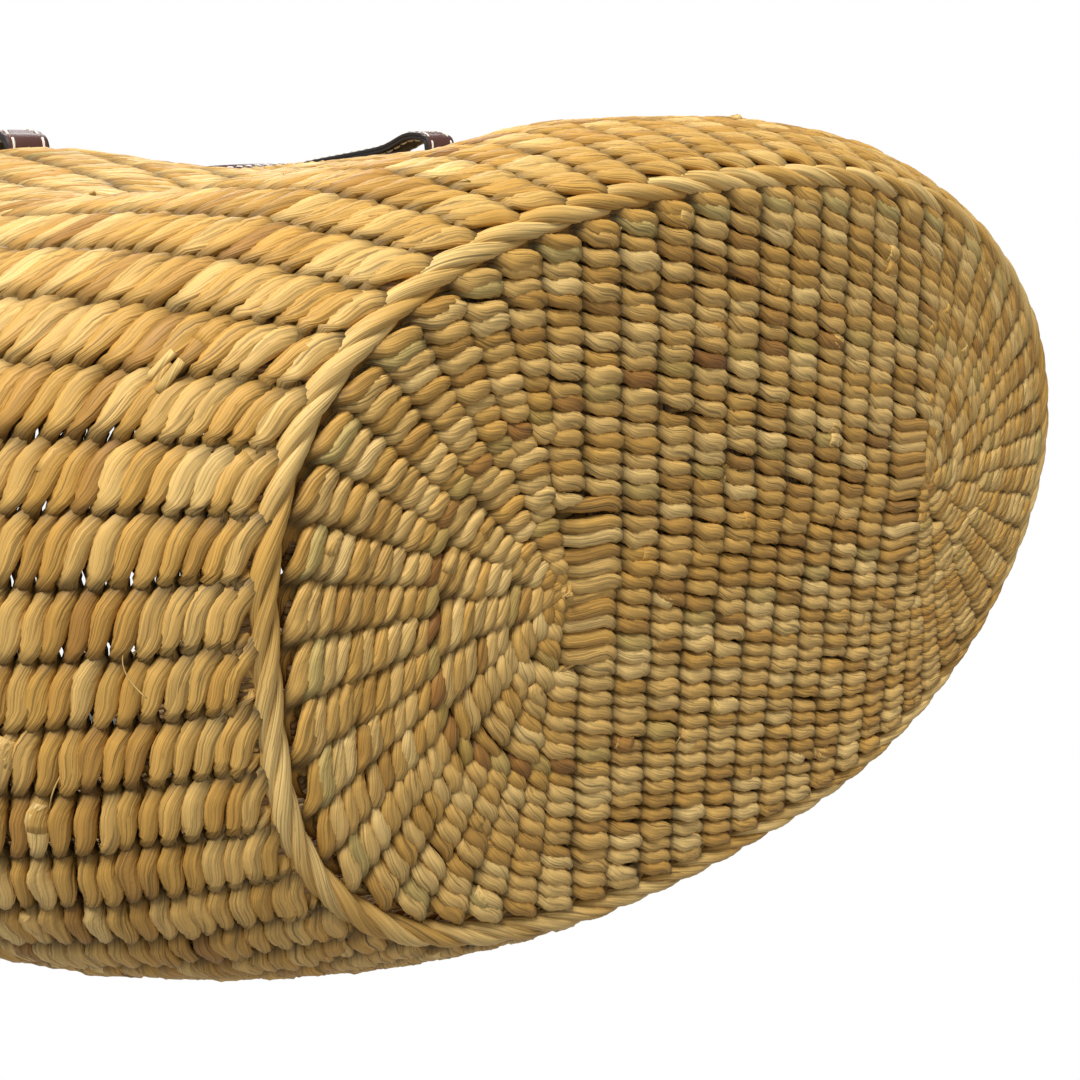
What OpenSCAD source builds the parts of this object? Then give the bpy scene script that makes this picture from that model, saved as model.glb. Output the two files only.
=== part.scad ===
// Woven grass beach bag: oval twined base, flared wall and two leather strap handles.
// The bag stands upright. The base rests on z = 0, x runs along the base's length,
// and the front face looks towards -y. All sizes are in millimetres.

/* [Bag] */
// Height of the bag from the floor to the top of the mouth border
bag_height = 285; // [240:5:330]
// Thickness of the woven wall and base
weave_thickness = 9; // [7:0.5:11]
// Number of upright stakes round the bag
stake_count = 64; // [56:8:72]
// Thickness of one bundled stake
stake_size = 4.4; // [3:0.2:4.4]
// Share of the stakes that fan round each end of the base
fan_share = 0.3125; // [0.25:0.0625:0.375]

/* [Base outline] */
// Reach of the base to the left of its middle
left_reach = 164; // [140:1:190]
// Reach of the base to the right of its middle
right_reach = 170; // [140:1:190]
// Half of the base's depth, front to back
half_depth = 99; // [80:1:115]
// Squareness of the left end's corners, where 2 is a plain ellipse
left_power = 2.75; // [2:0.05:3]
// Squareness of the right end's corners
right_power = 2.0; // [2:0.05:3]
// Distance of the left turning point of the rows from the middle
left_focus = 79; // [60:1:95]
// Distance of the right turning point of the rows from the middle
right_focus = 84; // [60:1:95]

/* [Wall shape] */
// Squareness of the mouth's corners
mouth_power = 2.35; // [2:0.05:3]
// Height over which the corners change from the base's shape to the mouth's
power_fade = 142; // [100:1:200]
// Height over which the wall kicks out above the base
lip_height = 21.5; // [15:0.5:30]
// Kick-out of the left end
left_lip = 38; // [20:1:45]
// Kick-out of the right end
right_lip = 9; // [0:1:30]
// Kick-out of the front face
front_lip = 19; // [0:1:25]
// Kick-out of the back face
back_lip = 5; // [0:1:25]
// Steady outward lean of the left end, up to the mouth
left_lean = 43; // [0:1:60]
// Steady outward lean of the right end
right_lean = 47; // [0:1:60]
// Steady outward lean of the front face, which is negative because it sags inwards
front_lean = -21; // [-42:1:0]
// Steady outward lean of the back face
back_lean = 3; // [-20:1:20]
// Rounding of the left end at mid height
left_belly = 33; // [0:1:40]
// Rounding of the right end at mid height
right_belly = 10; // [0:1:40]
// Rounding of the back face at mid height
back_belly = 19; // [0:1:30]
// Depth of the soft dent in the front face
dent_depth = 22; // [0:1:24]
// Depth of the wide sag between the front handle's slots
sag_depth = 17; // [0:1:20]
// Height of the soft swelling round the left slot of the front
swell_depth = 18; // [0:1:20]
// Height of the soft swelling round the right slot of the front
shoulder_depth = 7; // [0:1:10]

/* [Ropes] */
// Diameter of the twisted rope row where the base meets the wall
foot_rope_d = 8; // [6:0.5:10]
// Height and thickness of the rolled border round the mouth
border_d = 11; // [9:0.5:14]

/* [Handles] */
// Width of the leather strap
strap_width = 14.5; // [12:0.5:20]
// Thickness of the brown outer leather
leather_thickness = 1.8; // [1.2:0.1:2.4]
// Thickness of the black lining leather
lining_thickness = 1.5; // [1:0.1:2]
// Half of the distance between a handle's two legs
leg_spread = 90; // [70:1:110]
// Height of the slots that the straps come out of
slot_height = 240; // [225:1:245]
// Rise of a handle above its slots
handle_rise = 190; // [150:5:230]
// Squareness of the handle's bow
bow_power = 2.5; // [2:0.1:3]
// Distance of the strap's bend from the wall
bend_offset = 6; // [5.6:0.2:7]
// Distance of the resting strap's middle from the wall
strap_offset = 4.8; // [4.6:0.1:5.4]
// Distance between stitches
stitch_pitch = 6; // [5:0.5:10]
// Length of the strap's tail inside the bag
tail_length = 32; // [20:1:40]

/* [Hidden] */
GRASS = "burlywood";
STAKE = "peru";
BROWN = "saddlebrown";
BLACK = "dimgray";
THREAD = "white";
columns = 76;
wall_levels = 13;
bow_steps = 76;
arch_reach = 12;
fold_radius = 0.8;
thread_size = 0.9;
wall_bottom = foot_rope_d;
border_gap = 0.6;
wall_top = bag_height - border_d - border_gap;
strap_thickness = leather_thickness + lining_thickness;
dent_place = [-92, 91, 36];
sag_place = [-56, 190, 105];
swell_place = [-101, 214, 67];
shoulder_place = [100, 235, 60];
stitch_inset = 2.1;
tail_gap = 0.35;
slot_squeeze = 0.2;

// ---- the shape of the bag ---------------------------------------------------------------

function signed_power(v, p) = sign(v) * pow(abs(v), p);

// Distance from the bag's axis to the skin in one of the four main directions, at height z
function reach(z, start, lip, lean, belly) =
    start + lip * (1 - exp(-max(0, z - foot_rope_d / 2) / lip_height)) + lean * z / bag_height
    + belly * sin(180 * z / bag_height);

function squareness(t, z) =
    let (k = (1 + cos(t)) / 2, low = left_power + (right_power - left_power) * k)
    mouth_power + (low - mouth_power) * exp(-z / power_fade);

// A soft round swelling of height 1 at place = [x, z, radius]
function swelling(x, z, place) =
    exp(-pow((x - place[0]) / place[2], 2) - pow((z - place[1]) / place[2], 2));

// Point of the outer skin at angle t and height z
function skin(t, z) =
    let (
        p = 2 / squareness(t, z),
        rx = cos(t) > 0 ? reach(z, right_reach, right_lip, right_lean, right_belly)
                        : reach(z, left_reach, left_lip, left_lean, left_belly),
        ry = sin(t) > 0 ? reach(z, half_depth, back_lip, back_lean, back_belly)
                        : reach(z, half_depth, front_lip, front_lean, 0),
        x = rx * signed_power(cos(t), p),
        y = ry * signed_power(sin(t), p),
        front = min(1, max(0, -2 * sin(t)))
    )
    [x, y + front * (dent_depth * swelling(x, z, dent_place)
                     + sag_depth * swelling(x, z, sag_place)
                     - swell_depth * swelling(x, z, swell_place)
                     - shoulder_depth * swelling(x, z, shoulder_place)), z];

// Point moved into the weave by inset: level where tilt is 0, square to the skin where it is 1
function under_skin(t, z, inset, tilt = 0) =
    let (
        out = cross(skin(t + 0.5, z) - skin(t - 0.5, z), skin(t, z + 0.5) - skin(t, z - 0.5)),
        way = [out[0], out[1], tilt * out[2]]
    )
    skin(t, z) - inset * way / norm(way);

// The wall starts level on the foot rope and is square to the skin a little higher up
function wall_tilt(z) = min(1, max(0, (z - wall_bottom) / 20));

function ring(z, inset, tilt = 0, rise = 0) =
    [for (i = [0 : columns - 1]) under_skin(360 * i / columns, z, inset, tilt) + [0, 0, rise]];

// Angle of a skin point whose x is given, on the front (side = -1) or the back (side = 1)
function angle_at(x, z, side) =
    let (rx = x > 0 ? reach(z, right_reach, right_lip, right_lean, right_belly)
                    : reach(z, left_reach, left_lip, left_lean, left_belly))
    side * acos(signed_power(x / rx, squareness(side * (x > 0 ? 68 : 112), z) / 2));

// ---- stakes at equal steps round the base -----------------------------------------------

fine = [for (i = [0 : 360]) skin(i, 0)];
function run_to(i) = i == 0 ? 0 : run_to(i - 1) + norm(fine[i] - fine[i - 1]);
arc_table = [for (i = [0 : 6 : 360]) [run_to(i), i]];
base_girth = run_to(360);
function stake_angle(i) = lookup(i * base_girth / stake_count, arc_table);

// Where on the base's centre line stake i starts: at a turning point inside a fan, and evenly
// spaced between the two turning points elsewhere
function spine_x(i) =
    let (
        turn = min(i, stake_count - i) / stake_count,
        along = min(1, max(0, (turn - fan_share / 2) / (0.5 - fan_share)))
    )
    right_focus - along * (right_focus + left_focus);

// Stakes are added as a fan widens, so every fourth one starts close to the turning point
function stake_start(i) =
    abs(spine_x(i) - right_focus) > 0.01 && abs(spine_x(i) + left_focus) > 0.01 ? 3
    : i % 4 == 0 ? 10 : i % 4 == 2 ? 19 : 36;

// ---- general solids ---------------------------------------------------------------------

// A closed loop of section rings round the bag, such as the wall or a rope
module loop_of_rings(rings) {
    n = len(rings[0]);
    m = len(rings);
    polyhedron(
        points = [for (r = rings) each r],
        faces = [for (j = [0 : m - 1], i = [0 : n - 1])
            [j * n + i, ((j + 1) % m) * n + i, ((j + 1) % m) * n + (i + 1) % n, j * n + (i + 1) % n]]
    );
}

// A bar through a list of four-cornered sections. The long faces are split the same way on
// both sides, so that two layers of a strap meet without a gap.
module bar_of_sections(sections) {
    m = len(sections);
    function corner(j, k) = 4 * j + k % 4;
    polyhedron(
        points = [for (s = sections) each s],
        faces = concat(
            [[3, 2, 1, 0], [for (k = [0 : 3]) corner(m - 1, k)]],
            [for (j = [0 : m - 2], k = [0 : 3], half = [0, 1])
                k == 2
                ? (half == 0 ? [corner(j, k), corner(j, k + 1), corner(j + 1, k)]
                             : [corner(j, k + 1), corner(j + 1, k + 1), corner(j + 1, k)])
                : (half == 0 ? [corner(j, k), corner(j, k + 1), corner(j + 1, k + 1)]
                             : [corner(j, k), corner(j + 1, k + 1), corner(j + 1, k)])]
        )
    );
}

// A rope that follows the skin: its middle is at height z, inset from the skin
module rope_round(z, inset, d) {
    sides = 8;
    loop_of_rings([for (k = [0 : sides - 1])
        let (a = 360 * k / sides + 22.5)
        ring(z, inset - d / 2 * cos(a), 0, d / 2 * sin(a) / cos(22.5))]);
}

// ---- basket -----------------------------------------------------------------------------

// Flat oval floor, twined round the centre line
module base_weave() {
    color(GRASS)
    linear_extrude(weave_thickness)
    polygon([for (p = ring(0, foot_rope_d + 0.4)) [p[0], p[1]]]);
}

// Stakes crosswise under the middle and fanned round the two turning points
module base_stakes() {
    color(STAKE)
    for (i = [0 : stake_count - 1])
        let (
            rim = under_skin(stake_angle(i), 0, foot_rope_d + 1),
            way = rim - [spine_x(i), 0, 0],
            start = stake_start(i)
        )
        translate([spine_x(i), 0, weave_thickness / 2])
        rotate([0, 0, atan2(way[1], way[0])])
        translate([start, -stake_size / 2, -stake_size / 2])
        cube([norm(way) - start, stake_size, stake_size]);
}

// Bold three-strand rope row on the edge between the base and the wall
module foot_rope() {
    color(GRASS)
    rope_round(foot_rope_d / 2, foot_rope_d / 2, foot_rope_d);
}

// Twined wall with the four slots that the straps come out of
module wall_weave() {
    heights = [for (j = [0 : wall_levels]) wall_bottom
               + (wall_top - wall_bottom) * pow(j / wall_levels, 1.25)];
    color(GRASS)
    difference() {
        loop_of_rings(concat(
            [for (z = heights) ring(z, 0)],
            [for (j = [wall_levels : -1 : 0]) ring(heights[j], weave_thickness, wall_tilt(heights[j]))]
        ));
        for (side = [-1, 1], end = [-1, 1])
            at_slot(side, end)
            cube([strap_width - slot_squeeze, 4 * weave_thickness, strap_thickness - slot_squeeze],
                 center = true);
    }
}

// Bundled stakes inside the wall, from the foot rope up into the border
module wall_stakes() {
    levels = 8;
    h = stake_size / 2;
    color(STAKE)
    for (i = [0 : stake_count - 1]) {
        t = stake_angle(i);
        bar_of_sections([for (j = [0 : levels])
            let (
                z = wall_bottom + (wall_top - wall_bottom) * j / levels,
                p = under_skin(t, z, weave_thickness / 2, wall_tilt(z)),
                q = under_skin(t + 1, z, weave_thickness / 2, wall_tilt(z)),
                along = (q - p) / norm(q - p),
                out = [along[1], -along[0], 0]
            )
            [p - h * along - h * out, p + h * along - h * out,
             p + h * along + h * out, p - h * along + h * out]]);
    }
}

// Rolled and bound border that finishes the mouth
module mouth_border() {
    color(GRASS)
    rope_round(bag_height - border_d / 2, weave_thickness / 2, border_d);
}

// ---- where the straps leave the wall ----------------------------------------------------

// Skin point at a slot: side is -1 at the front and 1 at the back, end is -1 left and 1 right
function slot_point(side, z = slot_height, end = 1) =
    let (a = skin(angle_at(leg_spread, z, side), z), b = skin(angle_at(-leg_spread, z, side), z))
    [end * leg_spread, (a[1] + b[1]) / 2, z];

// Lean of the wall at the slots, in degrees from upright, positive away from the bag
function wall_lean(side) =
    let (low = slot_point(side, slot_height - 10), high = slot_point(side, slot_height + 30))
    atan2(side * (high[1] - low[1]), high[2] - low[2]);

// Puts a child at a slot, with its y axis straight out through the wall
module at_slot(side, end) {
    translate(slot_point(side, slot_height, end))
    rotate([0, 0, side > 0 ? 0 : 180])
    rotate([-wall_lean(side), 0, 0])
    children();
}

// ---- handles ----------------------------------------------------------------------------

// Distance of the strap's middle from the wall, u above its bend
function strap_lift(u) =
    let (arch = (bend_offset - strap_offset) * exp(1))
    strap_offset + arch * exp(-pow((u - arch_reach) / arch_reach, 2));

// Angle round the bow at a share v of the way from the left bend to the right one
function bow_angle(v) =
    v <= 0.5 ? 90 * pow(2 * v, bow_power / 2) : 180 - bow_angle(1 - v);

// Middle of the strap in the handle's own frame: x along the bag, y off the wall, z up the wall
function bow_point(v) =
    let (a = bow_angle(v), u = handle_rise * pow(sin(a), 2 / bow_power))
    [-leg_spread * signed_power(cos(a), 2 / bow_power), strap_lift(u), u];

// The legs turn a quarter, so that the grip lies flat in the hand
function bow_twist(v) =
    let (w = min(1, max(0, (min(v, 1 - v) - 0.13) / 0.24)))
    90 * w * w * (3 - 2 * w);

// Frame of the strap at v: middle point, width direction and outward normal
function bow_frame(v) =
    let (
        way = bow_point(min(1, v + 0.004)) - bow_point(max(0, v - 0.004)),
        radial = cross([0, 1, 0], way) / norm(cross([0, 1, 0], way)),
        out = cross(way, radial) / norm(cross(way, radial)),
        normal = cos(bow_twist(v)) * out + sin(bow_twist(v)) * radial
    )
    [bow_point(v), cross(way, normal) / norm(way), normal];

// Four corners of a layer between two distances from the middle plane and two across the strap
function strap_section(f, low, high, left, right) =
    [f[0] + left * f[1] + low * f[2], f[0] + right * f[1] + low * f[2],
     f[0] + right * f[1] + high * f[2], f[0] + left * f[1] + high * f[2]];

bow_runs = [for (j = [0 : bow_steps]) bow_point(j / bow_steps)];
function bow_run_to(j) = j == 0 ? 0 : bow_run_to(j - 1) + norm(bow_runs[j] - bow_runs[j - 1]);
bow_table = [for (j = [0 : bow_steps]) [bow_run_to(j), j / bow_steps]];
bow_length = bow_run_to(bow_steps);

// Puts a handle drawn in its own frame on the front or the back of the bag
module on_wall(side) {
    translate([0, slot_point(side)[1], slot_height])
    rotate([0, 0, side > 0 ? 0 : 180])
    rotate([-wall_lean(side), 0, 0])
    children();
}

// A layer of the strap between two distances from its middle plane. start is how far it
// begins past the bend, in steps of the bow.
module strap_layer(low, high, start = 0.15) {
    first = start / bow_steps;
    bar_of_sections([for (v = concat([first], [for (j = [1 : bow_steps - 1]) j / bow_steps], [1 - first]))
        strap_section(bow_frame(v), low, high, -strap_width / 2, strap_width / 2)]);
}

// Brown outer leather, with the folded ends that the handle bends on
module handle_strap(side) {
    color(BROWN)
    on_wall(side) {
        strap_layer(strap_thickness / 2 - leather_thickness, strap_thickness / 2);
        for (end = [-1, 1])
            translate([end * leg_spread, bend_offset, 0])
            rotate([0, 90, 0])
            cylinder(h = strap_width - 0.6, d = strap_thickness, center = true, $fn = 32);
    }
}

// Black lining glued and sewn to the back of the outer leather
module handle_lining(side) {
    color(BLACK)
    on_wall(side)
    strap_layer(-strap_thickness / 2, lining_thickness - strap_thickness / 2, 0.3);
}

// Saddle stitches along both edges of the outer leather
module handle_stitching(side) {
    count = floor(bow_length / stitch_pitch) - 2;
    face = strap_thickness / 2;
    row = strap_width / 2 - stitch_inset;
    color(THREAD)
    on_wall(side)
    for (k = [1 : count], edge = [-1, 1])
        let (middle = bow_length * (k + 0.5) / (count + 2))
        bar_of_sections([for (end = [-0.35, 0.35])
            strap_section(bow_frame(lookup(middle + end * stitch_pitch, bow_table)),
                          face - 0.15, face + thread_size / 2,
                          edge * row - thread_size / 2, edge * row + thread_size / 2)]);
}

// Fixed end of a strap: it passes in through the slot and is folded down inside the wall
module strap_tail(side, end) {
    inner = weave_thickness + 0.4;
    outer = bend_offset - strap_thickness / 2 - tail_gap;
    drop = strap_thickness / 2 + fold_radius;
    color(BROWN)
    at_slot(side, end) {
        translate([-strap_width / 2, -inner, -strap_thickness / 2])
        cube([strap_width, inner + outer, strap_thickness]);
        translate([-strap_width / 2, -inner, -drop])
        rotate([0, 90, 0])
        intersection() {
            difference() {
                cylinder(h = strap_width, r = fold_radius + strap_thickness, $fn = 32);
                cylinder(h = strap_width, r = fold_radius, $fn = 32);
            }
            translate([-2 * drop, -2 * drop, 0])
            cube([2 * drop, 2 * drop, strap_width]);
        }
        translate([-strap_width / 2, -inner - fold_radius - strap_thickness, -drop - tail_length])
        cube([strap_width, strap_thickness, tail_length]);
    }
}

// Stitches that sew the folded tails to the weave, seen inside the bag
module tail_stitching() {
    rows = 4;
    face = weave_thickness + 0.4 + fold_radius + strap_thickness;
    color(THREAD)
    for (side = [-1, 1], end = [-1, 1], k = [1 : rows], edge = [-1, 1])
        at_slot(side, end)
        translate([edge * (strap_width / 2 - stitch_inset), -face,
                   -strap_thickness - tail_length * k / (rows + 0.5)])
        cube([thread_size, thread_size, 0.7 * stitch_pitch], center = true);
}

// ---- nodes ------------------------------------------------------------------------------

base_weave();
base_stakes();
foot_rope();
wall_weave();
wall_stakes();
mouth_border();
handle_strap(-1);  // front_strap
handle_lining(-1);  // front_lining
handle_stitching(-1);  // front_stitching
handle_strap(1);  // rear_strap
handle_lining(1);  // rear_lining
handle_stitching(1);  // rear_stitching
strap_tail(-1, -1);  // front_left_tail
strap_tail(-1, 1);  // front_right_tail
strap_tail(1, -1);  // rear_left_tail
strap_tail(1, 1);  // rear_right_tail
tail_stitching();
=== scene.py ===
# %% [markdown]
# # A twined grass beach bag
#
# This bag is hand-twined from dry elephant grass. Bundles of thin stems, the stakes, run out
# from the middle of the base and up the wall like ribs. Two grass strands are twisted round
# every stake, one in front and one behind, and swap places in the gap. A thicker three-strand
# rope row marks the edge of the base, a bound border finishes the mouth, and two stitched
# leather straps come out of slots in the wall and make the handles.
#
# Everything here works in millimetres and is turned to metres only when a mesh is made.

import bpy
import numpy as np
from mathutils import Matrix, Vector


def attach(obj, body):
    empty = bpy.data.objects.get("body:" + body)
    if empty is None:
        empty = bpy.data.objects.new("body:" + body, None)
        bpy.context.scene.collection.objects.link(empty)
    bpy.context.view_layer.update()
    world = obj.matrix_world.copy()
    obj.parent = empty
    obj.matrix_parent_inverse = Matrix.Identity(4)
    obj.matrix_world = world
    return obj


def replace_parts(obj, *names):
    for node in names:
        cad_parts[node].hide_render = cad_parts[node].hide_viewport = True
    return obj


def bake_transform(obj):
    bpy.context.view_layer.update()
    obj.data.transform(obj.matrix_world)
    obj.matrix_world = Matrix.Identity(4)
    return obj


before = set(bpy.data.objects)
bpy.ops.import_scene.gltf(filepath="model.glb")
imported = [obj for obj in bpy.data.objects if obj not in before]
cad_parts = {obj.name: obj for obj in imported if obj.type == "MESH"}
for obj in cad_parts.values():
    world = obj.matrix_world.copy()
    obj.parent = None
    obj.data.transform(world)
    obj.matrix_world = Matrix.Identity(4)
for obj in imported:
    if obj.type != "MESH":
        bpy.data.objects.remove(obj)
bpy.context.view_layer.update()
MM = 0.001
rng = np.random.default_rng(7)

# %% [markdown]
# ## The shape of the bag
#
# The wall could be sculpted by hand, but a formula keeps every strand, stake and slot on the
# same surface. The base is an oval whose corners are squarer on the left than on the right.
# Going up, the wall kicks out quickly over the first rows, leans steadily and swells at mid
# height. The front sags a little between its handle's slots, with soft dents and swellings,
# because nobody weaves a perfect solid. These are the same dimensions as the bag's collision shape.

# %% Driving dimensions
BAG_HEIGHT = 285.0
WEAVE = 9.0  # thickness of the wall and the base
ROPE_D = 8.0  # the rope row round the foot
BORDER_D = 11.0  # the bound border of the mouth
LEFT, RIGHT, DEPTH = 164.0, 170.0, 99.0
LEFT_FOCUS, RIGHT_FOCUS = 79.0, 84.0
STAKES, FAN = 64, 20  # all the stakes, and the gaps between stakes in the fan at each end
ROW = 4.2  # distance between rows of twining
WALL_LOW, WALL_HIGH = ROPE_D, BAG_HEIGHT - BORDER_D

# name: (reach of the base, kick-out of the foot, lean up to the mouth, belly at mid height)
SIDES = {
    "left": (LEFT, 38.0, 43.0, 33.0),
    "right": (RIGHT, 9.0, 47.0, 10.0),
    "front": (DEPTH, 19.0, -21.0, 0.0),
    "back": (DEPTH, 5.0, 3.0, 19.0),
}
LEFT_POWER, RIGHT_POWER, MOUTH_POWER, POWER_FADE, LIP_HEIGHT = 2.75, 2.0, 2.35, 142.0, 21.5
# Soft places of the front wall: x, z, radius and depth (a dent, a wide sag, two swellings)
SOFT = [(-92, 91, 36, 22), (-56, 190, 105, 17), (-101, 214, 67, -18), (100, 235, 60, -7)]


# %% The skin as a formula
def signed_power(v, p):
    return np.sign(v) * np.abs(v) ** p


def reach(z, side):
    start, lip, lean, belly = SIDES[side]
    kick = lip * (1 - np.exp(-np.maximum(0, z - ROPE_D / 2) / LIP_HEIGHT))
    return start + kick + lean * z / BAG_HEIGHT + belly * np.sin(np.pi * z / BAG_HEIGHT)


def bump(x, z, place):
    return place[3] * np.exp(-(((x - place[0]) / place[2]) ** 2) - ((z - place[1]) / place[2]) ** 2)


def skin(t, z):
    """Point of the outer skin at angle t (radians) and height z."""
    t, z = np.broadcast_arrays(np.asarray(t, float), np.asarray(z, float))
    low = LEFT_POWER + (RIGHT_POWER - LEFT_POWER) * (1 + np.cos(t)) / 2
    p = 2 / (MOUTH_POWER + (low - MOUTH_POWER) * np.exp(-z / POWER_FADE))
    x = np.where(np.cos(t) > 0, reach(z, "right"), reach(z, "left")) * signed_power(np.cos(t), p)
    y = np.where(np.sin(t) > 0, reach(z, "back"), reach(z, "front")) * signed_power(np.sin(t), p)
    front = np.clip(-2 * np.sin(t), 0, 1)
    return np.stack([x, y + front * sum(bump(x, z, place) for place in SOFT), z], -1)


def unit(v):
    return v / np.maximum(np.linalg.norm(v, axis=-1, keepdims=True), 1e-9)


def outward(t, z, tilt):
    """Direction out of the wall: level where tilt is 0, square to the skin where it is 1."""
    e = 0.009
    n = np.cross(skin(t + e, z) - skin(t - e, z), skin(t, z + 0.5) - skin(t, z - 0.5))
    return unit(n * np.stack([np.ones_like(n[..., 0])] * 2 + [np.broadcast_to(tilt, n.shape[:-1])], -1))


# %% Equal steps round the base
fine = np.linspace(0, 2 * np.pi, 1441)
run = np.concatenate([[0], np.cumsum(np.linalg.norm(np.diff(skin(fine, 0), axis=0), axis=1))])


def angle_of(turn):
    """Angle of the point that lies a share of the way round the base."""
    return np.interp(turn % 1 * run[-1], run, fine)


print(f"the base measures {LEFT + RIGHT:.0f} x {2 * DEPTH:.0f} mm, and {run[-1]:.0f} mm round")

# %% [markdown]
# ## Two sheets to weave on
#
# A strand needs to know, at any place, where the middle of the weave is and which way is out.
# Two grids hold that, one for the wall and one for the base. Their first direction goes from
# the bottom of the wall to the top, or from the centre line of the base to its edge. Their
# second direction goes round. On the wall, the steps up each rib are equal, so the rows stay
# parallel where the wall bulges.

# %% The wall and base sheets
COLUMNS = STAKES * 12
turns = np.arange(COLUMNS) / COLUMNS
angles = angle_of(turns)


ROPE_TO_ROW = 2.6  # from the middle of the foot rope to the lower edge of the first row


def wall_sheet(levels=260):
    """The wall's middle surface. It starts on the foot rope, so that no gap shows there."""
    z = np.linspace(WALL_LOW, WALL_HIGH, levels)[:, None]
    tilt = np.clip((z - WALL_LOW) / 20, 0, 1)
    n = outward(angles[None, :], z, tilt)
    mid = skin(angles[None, :], z) - WEAVE / 2 * n
    rope = skin(angles, ROPE_D / 2) - ROPE_D / 2 * outward(angles, ROPE_D / 2, 0)
    gap = mid[0] - rope
    clear = np.minimum(ROPE_TO_ROW, np.linalg.norm(gap, axis=1))
    mid = np.concatenate([(rope + clear[:, None] * unit(gap))[None], mid])
    n = np.concatenate([n[:1], n])
    levels += 1
    steps = np.linalg.norm(np.diff(mid, axis=0), axis=2)
    length = np.concatenate([np.zeros((1, COLUMNS)), np.cumsum(steps, axis=0)])
    share = np.linspace(0, 1, levels)
    for c in range(COLUMNS):
        s = length[:, c] / length[-1, c]
        mid[:, c] = np.stack([np.interp(share, s, mid[:, c, k]) for k in range(3)], 1)
        n[:, c] = np.stack([np.interp(share, s, n[:, c, k]) for k in range(3)], 1)
    return mid, unit(n), length[-1].mean()


def spine_x(turn):
    """Where on the centre line the rib at this share of the way round starts."""
    turn = np.minimum(turn, 1 - turn)
    along = np.clip((turn - FAN / STAKES / 2) / (0.5 - FAN / STAKES), 0, 1)
    return RIGHT_FOCUS - along * (RIGHT_FOCUS + LEFT_FOCUS)


BASE_RAISE = 0.6  # keeps the strands under the base from reaching below the floor


def base_sheet(levels=60):
    rim = skin(angles, 0) - (ROPE_D - 0.5) * outward(angles, 0, 0)
    root = np.stack([spine_x(turns), np.zeros(COLUMNS), np.zeros(COLUMNS)], 1)
    share = np.linspace(0, 1, levels)[:, None, None]
    mid = root + (rim - root) * share
    mid[..., 2] = WEAVE / 2 + BASE_RAISE
    return mid, np.broadcast_to([0.0, 0.0, -1.0], mid.shape)


WALL_MID, WALL_OUT, WALL_RUN = wall_sheet()
BASE_MID, BASE_OUT = base_sheet()


def on_sheet(grid, share, turn):
    """Bilinear look-up in a sheet. share goes from 0 to 1 and turn wraps round."""
    i = np.clip(share, 0, 1) * (grid.shape[0] - 1)
    i0 = np.minimum(i.astype(int), grid.shape[0] - 2)
    j = turn % 1 * COLUMNS
    j0 = j.astype(int) % COLUMNS
    a, b = (i - i0)[..., None], (j - np.floor(j))[..., None]
    j1 = (j0 + 1) % COLUMNS
    low = grid[i0, j0] * (1 - b) + grid[i0, j1] * b
    high = grid[i0 + 1, j0] * (1 - b) + grid[i0 + 1, j1] * b
    return low * (1 - a) + high * a


print(f"a rib of the wall is {WALL_RUN:.0f} mm long")
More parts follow.
